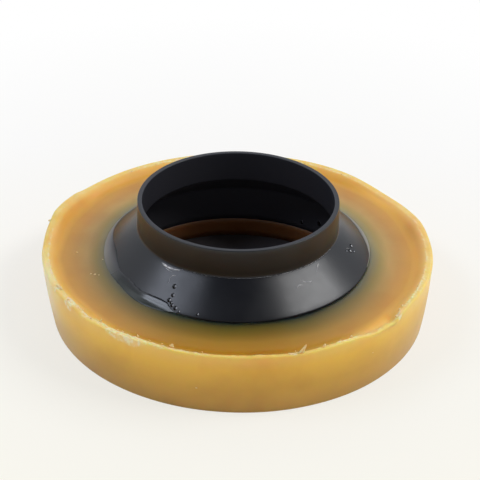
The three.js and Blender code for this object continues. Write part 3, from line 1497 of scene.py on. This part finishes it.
def lump(
    centre: np.ndarray,
    axes: np.ndarray,
    rings: int,
    columns: int,
    uneven: list[float],
) -> tuple[list, list]:
    """A closed rounded lump.

    Args:
        centre: its middle.
        axes: three rows, the half lengths along its own right-handed directions.
        rings: bands from pole to pole.
        columns: corners round each band.
        uneven: swelling of each corner, used in turn.
    Returns:
        Its points and its faces, looking outwards.
    """
    points = [centre + axes[2]]
    for i in range(1, rings):
        tilt = math.pi * i / rings
        for j in range(columns):
            side = 2 * math.pi * j / columns
            across = math.sin(tilt)
            ray = np.array((across * math.cos(side), across * math.sin(side), math.cos(tilt)))
            points.append(centre + (1 + uneven[(i * columns + j) % len(uneven)]) * (ray @ axes))
    points.append(centre - axes[2])
    faces, last = [], len(points) - 1
    for j in range(columns):
        after = (j + 1) % columns
        faces.append([0, 1 + j, 1 + after])
        for i in range(rings - 2):
            low, high = 1 + i * columns, 1 + (i + 1) * columns
            faces.append([low + j, high + j, high + after, low + after])
        bottom = 1 + (rings - 2) * columns
        faces.append([bottom + after, bottom + j, last])
    return points, faces


@dataclass
class Beads:
    """Clear beads: a string of them down the front of the cone, a few on its right and two inside."""

    horn: Horn
    # Angle, height and radius of each bead.
    places: tuple[tuple[float, float, float], ...] = (
        (238.9, 28.4, 0.80),
        (240.1, 26.4, 0.68),
        (239.4, 25.1, 0.76),
        (240.8, 24.7, 0.56),
        (241.7, 24.2, 0.66),
        (243.6, 23.8, 0.78),
        (253.8, 23.6, 0.50),
        (238.4, 24.1, 0.45),
        (245.6, 23.3, 0.40),
        (351.0, 28.5, 0.66),
        (346.4, 28.4, 0.72),
        (348.6, 27.4, 0.46),
        (343.9, 29.2, 0.40),
    )
    inside_places: tuple[tuple[float, float, float], ...] = ((58.0, 11.0, 0.6), (47.9, 13.4, 0.9))
    stand: float = 0.75
    sunk: float = 0.1
    run: float = 1.12
    inside_run: float = 1.5
    rings: int = 10
    columns: int = 20

    def build(self, finish: bpy.types.Material) -> bpy.types.Object:
        """Builds all beads as one piece.

        Args:
            finish: the clear drop.
        Returns:
            The beads' piece.
        """
        out, rise = self.horn.cone_normal()
        lumps = []
        for degrees, height, size in self.places + self.inside_places:
            angle = math.radians(degrees)
            sideways = np.array([-math.sin(angle), math.cos(angle), 0.0])
            if height > self.horn.inner_cone_foot[1]:
                normal = np.array([out * math.cos(angle), out * math.sin(angle), rise])
                centre = self.horn.on_cone(degrees, height, -self.sunk * size)
                run = self.run
            else:
                normal = np.array([-math.cos(angle), -math.sin(angle), 0.0])
                centre = np.array([0.0, 0.0, height]) - self.horn.inner_skirt_foot * normal
                run = self.inside_run
            axes = size * np.array([np.cross(sideways, normal), sideways, self.stand * normal])
            axes[0] *= run
            lumps.append(lump(centre, axes, self.rings, self.columns, [0.0]))
        return mesh_piece("clear_beads", *joined(lumps), Slot.WAX, finish)


@dataclass
class HornScuffsAndHighlights:
    """Nicks and scratches, and painted highlights: the thin pale line along the bend at the collar's foot
    and the bright strip at its left end.
    """

    horn: Horn
    thick: float = 0.05
    sunk: float = 0.03
    flat_share: float = 0.6
    line_drop: float = 0.12
    # Angle and width along the painted highlight line, and angle, height and width along each mark.
    foot_highlight: tuple[tuple[float, float], ...] = (
        (238.0, 0.05),
        (250.0, 0.05),
        (268.0, 0.04),
        (282.0, 0.06),
        (290.0, 0.10),
        (300.0, 0.14),
        (312.0, 0.13),
        (322.0, 0.10),
        (334.0, 0.04),
    )
    marks: tuple[tuple[tuple[float, float, float], ...], ...] = (
        # The first mark is a painted highlight, the bright strip at the collar's foot; the others are
        # scratches and scuffs.
        (
            (225.0, 32.2, 0.2),
            (227.5, 32.0, 0.85),
            (230.5, 31.9, 0.7),
            (234.0, 31.95, 0.75),
            (237.8, 32.3, 0.2),
        ),
        ((229.0, 31.5, 0.08), (231.5, 31.35, 0.26), (233.4, 31.3, 0.08)),
        ((235.2, 28.7, 0.04), (234.6, 29.8, 0.14), (235.4, 30.6, 0.16), (237.1, 30.85, 0.04)),
        ((300.6, 28.85, 0.14), (301.8, 29.2, 0.34), (303.9, 29.0, 0.10)),
        ((304.0, 30.2, 0.05), (305.6, 29.5, 0.22), (308.9, 28.95, 0.30), (309.6, 29.2, 0.05)),
        ((315.0, 30.45, 0.05), (316.3, 31.0, 0.26), (318.6, 31.7, 0.22), (319.2, 31.9, 0.05)),
        ((345.0, 29.6, 0.04), (346.6, 29.2, 0.12), (347.2, 28.6, 0.04)),
    )

    def ribbon(self, spine: list[tuple[float, float, float]], steps: int) -> tuple[list, list]:
        """One flat, tapered ribbon that lies on the cone.

        Args:
            spine: its angle, height and width at each place along it.
            steps: rows between one place and the next.
        Returns:
            Its points and its faces.
        """
        spine = np.array(spine)
        ticks = np.linspace(0, len(spine) - 1, steps * (len(spine) - 1) + 1)
        places = np.arange(len(spine))
        degrees, height, width = (np.interp(ticks, places, spine[:, i]) for i in range(3))
        middle = np.array([self.horn.on_cone(d, z) for d, z in zip(degrees, height)])
        lifted = np.array([self.horn.on_cone(d, z, 1.0) for d, z in zip(degrees, height)])
        normal = lifted - middle
        ahead = np.gradient(middle, axis=0)
        ahead /= np.linalg.norm(ahead, axis=1)[:, None]
        across = np.cross(normal, ahead)
        half = width[:, None] / 2
        rows = [
            middle + across * half - normal * self.sunk,
            middle + across * half * self.flat_share + normal * self.thick,
            middle - across * half * self.flat_share + normal * self.thick,
            middle - across * half - normal * self.sunk,
        ]
        points = [row[i] for i in range(len(middle)) for row in rows]
        return points, strip_faces(len(middle))

    def build(self, finish: bpy.types.Material) -> bpy.types.Object:
        """Builds all marks as one piece.

        Args:
            finish: the scuffed plastic.
        Returns:
            The marks' piece.
        """
        height = self.horn.cone_top_height - self.line_drop
        ribbons = [self.ribbon([(degrees, height, width) for degrees, width in self.foot_highlight], 12)]
        ribbons += [self.ribbon(list(mark), 8) for mark in self.marks]
        return mesh_piece("horn_scuffs_and_painted_highlights", *joined(ribbons), Slot.HORN, finish)


@dataclass
class LipShreds:
    """Shreds and chips of torn wax along the lip, the tall split one at the front among them."""

    ring: WaxRing
    count: int = 44
    seed: int = 7
    steps: int = 6
    split_at: float = 288.0
    split_tip: tuple[float, float, float] = (22.9, -66.2, 3.7)
    slab_at: float = 285.9
    # Angle, radius, rise and width of each stub.
    stubs: tuple[tuple[float, float, float, float], ...] = (
        (252.3, 67.6, 0.85, 1.3),
        (228.8, 67.8, 1.2, 0.6),
        (295.2, 68.3, 0.7, 1.0),
        (303.9, 68.2, 0.6, 0.8),
        (324.3, 67.9, 0.5, 0.9),
        (225.3, 68.6, 0.5, 0.9),
    )
    spur_at: float = 169.5
    # Angle, radius and length of each curl.
    curls: tuple[tuple[float, float, float], ...] = (
        (206.2, 68.2, 2.6),
        (207.2, 67.7, 1.6),
        (322.2, 68.6, 1.2),
        (214.2, 68.4, 1.3),
    )

    def strip(
        self,
        base: np.ndarray,
        tip: np.ndarray,
        across: np.ndarray,
        widths: tuple[float, float],
        thick: float,
        bow: float = 0.08,
    ) -> tuple[list, list]:
        """One tapered strip of wax, bowed a little.

        Args:
            base: where it grows from.
            tip: where it ends.
            across: direction of its width.
            widths: its width at the base and at the tip.
            thick: its thickness at the base.
            bow: how far it bows, as a share of its length.
        Returns:
            Its points and its faces.
        """
        grow = tip - base
        through = np.cross(grow, across)
        through /= np.linalg.norm(through)
        side = np.cross(through, grow)
        side /= np.linalg.norm(side)
        points = []
        for t in (i / self.steps for i in range(self.steps + 1)):
            half = (widths[0] + (widths[1] - widths[0]) * t) / 2
            deep = thick * (1 - 0.5 * t) / 2
            centre = base + grow * t - side * bow * np.linalg.norm(grow) * math.sin(math.pi * t)
            for a, b in ((-1, -1), (1, -1), (1, 1), (-1, 1)):
                points.append(centre + side * half * a + through * deep * b)
        return points, strip_faces(self.steps + 1)

    def axes(self, degrees: float) -> tuple[np.ndarray, np.ndarray, np.ndarray]:
        """Outward, sideways and up directions at one angle."""
        angle = math.radians(degrees)
        out = np.array([math.cos(angle), math.sin(angle), 0.0])
        return out, np.array([-out[1], out[0], 0.0]), np.array([0.0, 0.0, 1.0])

    def named(self) -> list[tuple]:
        """The shreds and chips that have a place of their own: the tall split one with the slab beside it,
        stubs that stand, a spur that points outwards and curls that lie along the lip.

        Returns:
            Points and faces of each.
        """
        made = []
        out, side, up = self.axes(self.split_at)
        crest = self.ring.crest(self.split_at)
        tip = np.array(self.split_tip) + up * crest
        for shift, tip_shift, bow in ((-0.62, -0.04, 0.02), (0.42, 0.05, -0.01)):
            base = out * 68.9 + side * shift + up * (crest - 0.5)
            made.append(self.strip(base, tip + side * tip_shift, side, (0.82, 0.16), 0.45, bow))
        out, side, up = self.axes(self.slab_at)
        base = out * 68.7 - side * 1.5 + up * (crest + 0.02)
        made.append(self.strip(base, base + side * 2.9 - up * 0.05, up, (0.5, 0.45), 0.9))
        for degrees, radius, rise, width in self.stubs:
            out, side, up = self.axes(degrees)
            base = out * radius + up * (self.ring.crest(degrees) - 0.35)
            tip = base + up * (rise + 0.3) + side * 0.15
            made.append(self.strip(base, tip, side, (width, width * 0.45), 0.55))
        out, side, up = self.axes(self.spur_at)
        base = out * 68.6 + up * (self.ring.crest(self.spur_at) - 0.7)
        made.append(self.strip(base, base + out * 1.9 + up * 0.2, side, (1.8, 0.8), 0.5))
        for degrees, radius, length in self.curls:
            out, side, up = self.axes(degrees)
            base = out * radius - side * length / 2 + up * self.ring.crest(degrees)
            made.append(self.strip(base, base + side * length, out, (0.95, 0.6), 0.4))
        return made

    def scattered(self) -> list[tuple]:
        """Small chips, thickest where the lip is most scraped.

        Returns:
            Points and faces of each.
        """
        chance = random.Random(self.seed)
        made = []
        while len(made) < self.count:
            degrees = chance.uniform(0, 360)
            strength = float(np.clip(0.06 + sum_of(self.ring.scrapes, np.array([degrees]))[0], 0, 1))
            if chance.random() > strength:
                continue
            out, side, up = self.axes(degrees)
            base = out * chance.choice((67.5, 67.7, 68.1, 69.2)) + up * (self.ring.crest(degrees) - 0.2)
            lean = up * chance.uniform(0.2, 0.38)
            lean = lean + side * chance.uniform(-0.7, 0.7)
            lean = lean + out * chance.uniform(-0.3, 0.2)
            width = chance.uniform(0.35, 0.85)
            thick = chance.uniform(0.15, 0.35)
            made.append(self.strip(base, base + lean, side + 0.3 * out, (width, width * 0.4), thick))
        return made

    def build(self, finish: bpy.types.Material) -> bpy.types.Object:
        """Builds all shreds as one piece.

        Args:
            finish: the torn wax.
        Returns:
            The shreds' piece.
        """
        return mesh_piece("lip_shreds", *joined(self.named() + self.scattered()), Slot.WAX, finish)


@dataclass
class Crumbs:
    """Small crumbs of wax that lie on the dish and stick to the wall."""

    ring: WaxRing
    # Angle, radius and size of each crumb on the dish, and angle, height and size of each on the wall.
    on_dish: tuple[tuple[float, float, float], ...] = (
        (183.6, 57.7, 0.55),
        (199.3, 54.2, 0.30),
        (200.3, 53.0, 0.34),
        (201.4, 51.8, 0.28),
        (191.0, 48.6, 0.25),
    )
    on_wall: tuple[tuple[float, float, float], ...] = (
        (290.1, 4.8, 0.30),
        (299.8, 9.2, 0.34),
        (259.5, 10.2, 0.30),
        (311.5, 14.6, 0.22),
    )
    seed: int = 3
    wall_slope: float = 0.13
    rings: int = 6
    columns: int = 9
    dents: int = 23

    def build(self, finish: bpy.types.Material) -> bpy.types.Object:
        """Builds all crumbs as one piece.

        Args:
            finish: the torn wax.
        Returns:
            The crumbs' piece.
        """
        chance = random.Random(self.seed)
        crumbs = []
        spots = [(d, r, self.ring.dish(r), s, True) for d, r, s in self.on_dish]
        foot = self.ring.seat_radius
        spots += [(d, foot + self.wall_slope * z, z, s, False) for d, z, s in self.on_wall]
        for degrees, radius, height, size, flat in spots:
            angle = math.radians(degrees)
            out = np.array([math.cos(angle), math.sin(angle), 0.0])
            side, up = np.array([-out[1], out[0], 0.0]), np.array([0.0, 0.0, 1.0])
            longer, shorter = chance.uniform(0.9, 1.5), chance.uniform(0.6, 0.9)
            if flat:
                axes = size * np.array([out * longer, side * shorter, up * 0.4])
            else:
                axes = size * np.array([side * longer, up * shorter, out * 0.5])
            uneven = [0.2 * chance.uniform(-1, 1) for _ in range(self.dents)]
            crumbs.append(lump(out * radius + up * height, axes, self.rings, self.columns, uneven))
        return mesh_piece("wax_crumbs", *joined(crumbs), Slot.WAX, finish)


def hanging_matrix(right: Vector, up: Vector, back: Vector, place: Vector) -> Matrix:
    """Where a lamp or a camera hangs.

    Args:
        right: its right.
        up: its top.
        back: the direction away from what it looks at.
        place: its own place in metres.
    Returns:
        Its matrix.
    """
    rows = [(*axes, where) for *axes, where in zip(right, up, back, place)]
    return Matrix([*rows, (0, 0, 0, 1)])


@dataclass
class Studio:
    """White paper with a dark disc on it under the seal as painted shade in the bore, two softboxes, a
    soft world and the camera.
    """

    elevation: float = 31.196
    distance: float = 573.586
    roll: float = 1.1296
    aim: tuple[float, float, float] = (0.831, 0.0, 26.116)
    lens: float = 120.0
    sensor: float = 36.0
    floor_half: float = 4000.0
    floor_depth: float = 0.04
    hole_radius: float = 56.0
    hole_corners: int = 120
    disc_depth: float = 0.02
    box_distance: float = 1100.0
    right_towards: tuple[float, float, float] = (0.665, -0.02, 0.745)
    right_along: tuple[float, float, float] = (0.31, 0.60, -0.32)
    right_size: tuple[float, float] = (292.0, 740.0)
    right_radiance: float = 8.6
    left_towards: tuple[float, float, float] = (-0.60, -0.12, 0.79)
    left_along: tuple[float, float, float] = (-0.35, 0.55, -0.30)
    left_size: tuple[float, float] = (248.0, 580.0)
    left_radiance: float = 6.5
    # How bright the sky is at each height, from the horizon at 0 to straight up at 1.
    back_sky: tuple[tuple[float, float], ...] = (
        (0.0, 0.60),
        (0.18, 0.70),
        (0.42, 0.74),
        (0.55, 0.84),
        (0.64, 1.30),
        (0.74, 1.2),
        (0.88, 0.10),
    )
    front_sky: tuple[tuple[float, float], ...] = (
        (0.0, 0.42),
        (0.45, 0.36),
        (0.70, 0.14),
        (0.85, 0.08),
    )
    sky_turn: tuple[float, float] = (-0.25, 0.35)
    cool: str = "#f2f7ff"
    left_tint: str = "#e6eeff"

    def stage_mesh(
        self,
        name: str,
        corners: list[tuple[float, float]],
        depth: float,
        finish: bpy.types.Material,
    ) -> bpy.types.Object:
        """Lays one flat sheet under the seal.

        Args:
            name: the sheet's name.
            corners: its outline as x and y in metres.
            depth: how far it lies below the seat, in millimetres.
            finish: its material.
        Returns:
            The sheet.
        """
        mesh = bpy.data.meshes.new(name)
        mesh.from_pydata([(x, y, 0.0) for x, y in corners], [], [list(range(len(corners)))])
        mesh.materials.append(finish)
        sheet = bpy.data.objects.new(name, mesh)
        sheet.location.z = -depth * MM
        bpy.context.scene.collection.objects.link(sheet)
        return sheet

    def softbox(
        self,
        name: str,
        towards: tuple[float, float, float],
        along: tuple[float, float, float],
        size: tuple[float, float],
        radiance: float,
    ) -> bpy.types.Object:
        """Hangs one softbox.

        Args:
            name: the lamp's name.
            towards: direction from the seal to the lamp.
            along: rough direction of the lamp's long side.
            size: its width and its length in millimetres.
            radiance: how bright its face is, where 1 is white.
        Returns:
            The lamp.
        """
        lamp = bpy.data.lights.new(name, "AREA")
        lamp.shape = "RECTANGLE"
        lamp.size = size[0] * MM
        lamp.size_y = size[1] * MM
        lamp.energy = radiance * math.pi * lamp.size * lamp.size_y
        box = bpy.data.objects.new(name, lamp)
        back = Vector(towards).normalized()
        right = Vector(along).cross(back).normalized()
        up = back.cross(right)
        box.matrix_world = hanging_matrix(right, up, back, back * self.box_distance * MM)
        bpy.context.scene.collection.objects.link(box)
        return box

    def world(self) -> bpy.types.World:
        """Makes the soft world: a bright sweep behind the seal, a dim room in front of it and a dark top.

        Returns:
            The world.
        """
        world = bpy.data.worlds.new("soft_world")
        world.use_nodes = True
        tree = world.node_tree
        tree.nodes.clear()
        rays = add_node(tree, "ShaderNodeLightPath").outputs
        place = add_node(tree, "ShaderNodeTexCoord").outputs["Generated"]
        parts = add_node(tree, "ShaderNodeSeparateXYZ", links={0: place}).outputs
        halves = []
        for stops in (self.front_sky, self.back_sky):
            scale = {"stops": [(at, (bright / 2, bright / 2, bright / 2, 1.0)) for at, bright in stops]}
            halves.append(add_node(tree, "ShaderNodeValToRGB", scale, {0: parts[2]}).outputs[0])
        low, high = self.sky_turn
        behind = add_node(
            tree, "ShaderNodeMapRange", {FROM_LOW: low, FROM_HIGH: high}, {0: parts[1]}
        ).outputs[0]
        sky = add_node(
            tree,
            "ShaderNodeMix",
            {"data_type": "RGBA"},
            {"Factor": behind, COLOUR_A: halves[0], COLOUR_B: halves[1]},
        ).outputs[COLOUR_OUT]
        soft = add_node(tree, "ShaderNodeMath", {"operation": "MULTIPLY", 1: 2.0}, {0: sky}).outputs[0]
        seen = add_node(
            tree,
            "ShaderNodeMath",
            {"operation": "MAXIMUM"},
            {0: rays["Is Camera Ray"], 1: rays["Is Transmission Ray"]},
        ).outputs[0]
        strength = add_node(
            tree,
            "ShaderNodeMix",
            {"data_type": "FLOAT", NUMBER_B: 1.0},
            {"Factor": seen, NUMBER_A: soft},
        ).outputs[0]
        colour = add_node(
            tree,
            "ShaderNodeMix",
            {"data_type": "RGBA", COLOUR_A: linear(self.cool), COLOUR_B: (1.0, 1.0, 1.0, 1.0)},
            {"Factor": seen},
        ).outputs[COLOUR_OUT]
        light = add_node(tree, "ShaderNodeBackground", links={"Color": colour, "Strength": strength})
        add_node(tree, "ShaderNodeOutputWorld", links={0: light.outputs[0]})
        bpy.context.scene.world = world
        return world

    def camera(self) -> bpy.types.Object:
        """Sets the camera where the photograph was taken from.

        Returns:
            The camera.
        """
        data = bpy.data.cameras.new("photo_camera")
        data.lens = self.lens
        data.sensor_width = self.sensor
        camera = bpy.data.objects.new("photo_camera", data)
        tilt = math.radians(self.elevation)
        turn = math.radians(self.roll)
        back = Vector((0.0, -math.cos(tilt), math.sin(tilt)))
        level = Vector((1.0, 0.0, 0.0))
        upright = Vector((0.0, math.sin(tilt), math.cos(tilt)))
        right = level * math.cos(turn) + upright * math.sin(turn)
        up = upright * math.cos(turn) - level * math.sin(turn)
        place = (Vector(self.aim) + back * self.distance) * MM
        camera.matrix_world = hanging_matrix(right, up, back, place)
        bpy.context.scene.collection.objects.link(camera)
        bpy.context.scene.camera = camera
        return camera

    def build(self) -> None:
        """Sets up the whole studio."""
        half = self.floor_half * MM
        square = [(-half, -half), (half, -half), (half, half), (-half, half)]
        self.stage_mesh("studio_floor", square, self.floor_depth, StudioPaper().make())
        # Painted shade: a dark grey disc under the seal, seen only through the bore.
        circle = [2 * math.pi * i / self.hole_corners for i in range(self.hole_corners)]
        reach = self.hole_radius * MM
        disc = [(reach * math.cos(a), reach * math.sin(a)) for a in circle]
        self.stage_mesh("painted_shade_disc_in_bore", disc, self.disc_depth, ShadeDisc().make())
        self.softbox(
            "softbox_right",
            self.right_towards,
            self.right_along,
            self.right_size,
            self.right_radiance,
        )
        left = self.softbox(
            "softbox_left",
            self.left_towards,
            self.left_along,
            self.left_size,
            self.left_radiance,
        )
        left.data.color = linear(self.left_tint)[:3]
        self.world()
        self.camera()
        bpy.context.scene.view_settings.view_transform = "Standard"


def report(piece: bpy.types.Object) -> None:
    """Logs a piece and its number of faces."""
    log.info("%s: %d faces", piece.name, len(piece.data.polygons))


def main() -> None:
    """Builds the seal and its studio, in order."""
    logging.basicConfig(level=logging.INFO)
    Studio().build()
    wax = CastPetroleumWax().make()
    torn_wax = TornWax().make()
    ring = WaxRing()
    report(ring.build(wax))
    horn = Horn()
    report(horn.build(MouldedPolyethylene().make()))
    report(WaxFilm(horn, ring).build(WaxSkin().make()))
    report(Beads(horn).build(ClearDrop().make()))
    report(HornScuffsAndHighlights(horn).build(ScuffsAndPaintedHighlights().make()))
    report(LipShreds(ring).build(torn_wax))
    report(Crumbs(ring).build(torn_wax))


if __name__ == "__main__":
    main()
